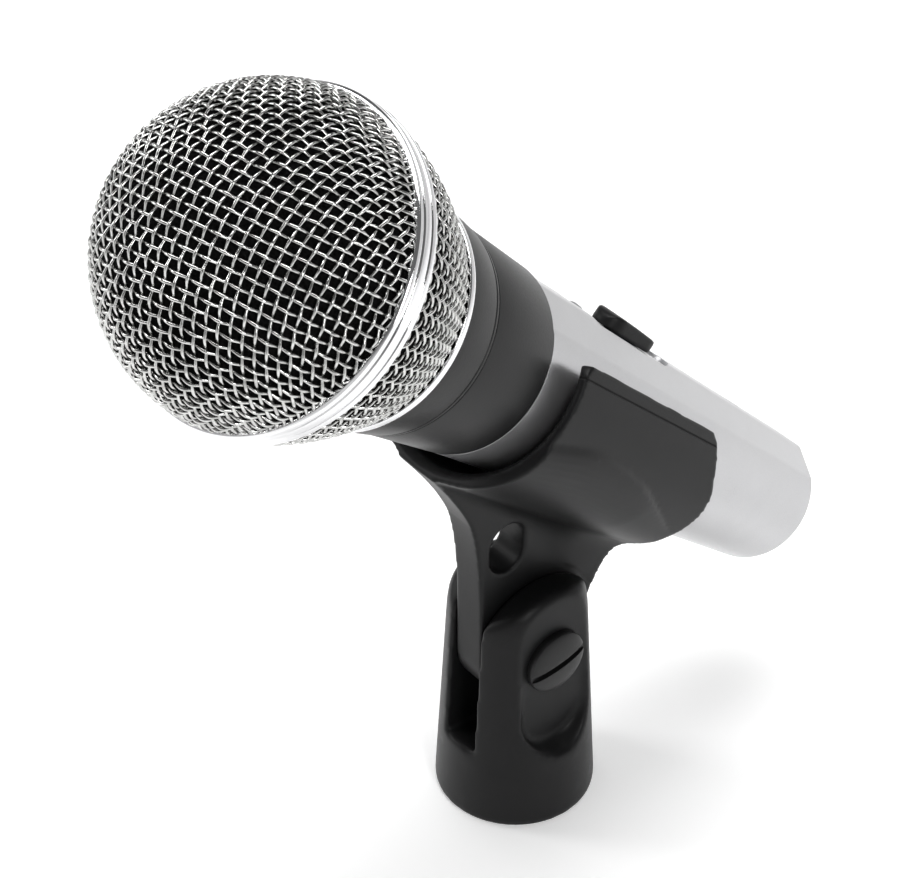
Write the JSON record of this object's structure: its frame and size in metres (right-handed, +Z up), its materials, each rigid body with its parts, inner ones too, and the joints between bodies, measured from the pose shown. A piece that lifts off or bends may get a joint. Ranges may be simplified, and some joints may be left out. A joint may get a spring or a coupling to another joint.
{
  "type": "dynamic microphone",
  "caption": "Handheld dynamic vocal microphone with a ball grille and an on-off switch, resting in a swivel stand clip with a standard stand thread.",
  "frame": {"origin": "on the axis of the stand thread, in the plane of the clip base's underside", "axes": "+Z up along the stand thread, -Y towards the microphone's head, +X towards the head of the pivot screw, along the tilt axis"},
  "size_m": [0.051, 0.1311, 0.151],
  "materials": {
    "silver_enamel": "satin",
    "black_enamel": "satin",
    "black_moulding": "matte",
    "bright_chrome": "polished",
    "wire_chrome": "polished",
    "brass": "satin",
    "steel": "satin",
    "aluminium": "satin",
    "magnet_alloy": "satin",
    "copper_wire": "satin",
    "rubber": "matte",
    "foam": "matte",
    "film": "gloss"
  },
  "bodies": {
    "base": {"stand_base": "black_moulding", "thread_insert": "brass", "pivot_nut": "steel"},
    "clip": {"clip_cradle": "black_moulding"},
    "pivot_screw": {"pivot_screw": "black_enamel"},
    "microphone": {"handle": "silver_enamel", "neck_sleeve": "black_enamel", "name_ring": "black_enamel", "switch_plate": "silver_enamel", "switch_plate_screw": "steel", "switch_body": "black_moulding", "connector_insulator": "black_moulding", "connector_pin_1": "brass", "connector_pin_2": "brass", "connector_pin_3": "brass", "connector_screw": "steel", "transformer_core": "steel", "transformer_coil": "copper_wire", "shock_mount": "rubber", "capsule_housing": "aluminium", "capsule_cap": "aluminium", "magnet_yoke": "steel", "magnet": "magnet_alloy", "pole_piece": "steel", "voice_coil": "copper_wire", "diaphragm": "film"},
    "switch_knob": {"switch_knob": "black_moulding"},
    "windscreen": {"foam_windscreen": "foam"},
    "grille": {"grille_collar": "bright_chrome", "rear_grille": "wire_chrome", "grille_band": "bright_chrome", "front_grille": "wire_chrome"}
  },
  "joints": [
    {"name": "clip_tilt", "type": "hinge", "parent": "base", "child": "clip", "pos_m": [0, 0, 0.0322], "axis": [1, 0, 0], "range_deg": [-60, 110]},
    {"name": "pivot_screw_turn", "type": "hinge", "parent": "base", "child": "pivot_screw", "pos_m": [0, 0, 0.0322], "axis": [1, 0, 0], "range_deg": [0, 360]},
    {"name": "microphone_slide", "type": "slide", "parent": "clip", "child": "microphone", "axis": [0, -0.729, 0.6845], "range_m": [0, 0.095]},
    {"name": "switch_slide", "type": "slide", "parent": "microphone", "child": "switch_knob", "axis": [0, -0.6992, 0.715], "range_m": [0, 0.0035]},
    {"name": "grille_lift", "type": "slide", "parent": "microphone", "child": "windscreen", "axis": [0, -0.729, 0.6845], "range_m": [0, 0.006]},
    {"name": "grille_turn", "type": "hinge", "parent": "windscreen", "child": "grille", "pos_m": [0, -0.02695, 0.10854], "axis": [0, -0.729, 0.6845], "range_deg": [0, 1440]}
  ],
  "couplings": [
    {"joint": "grille_lift", "follows": "grille_turn", "m_per_rad": 0.0002387}
  ]
}
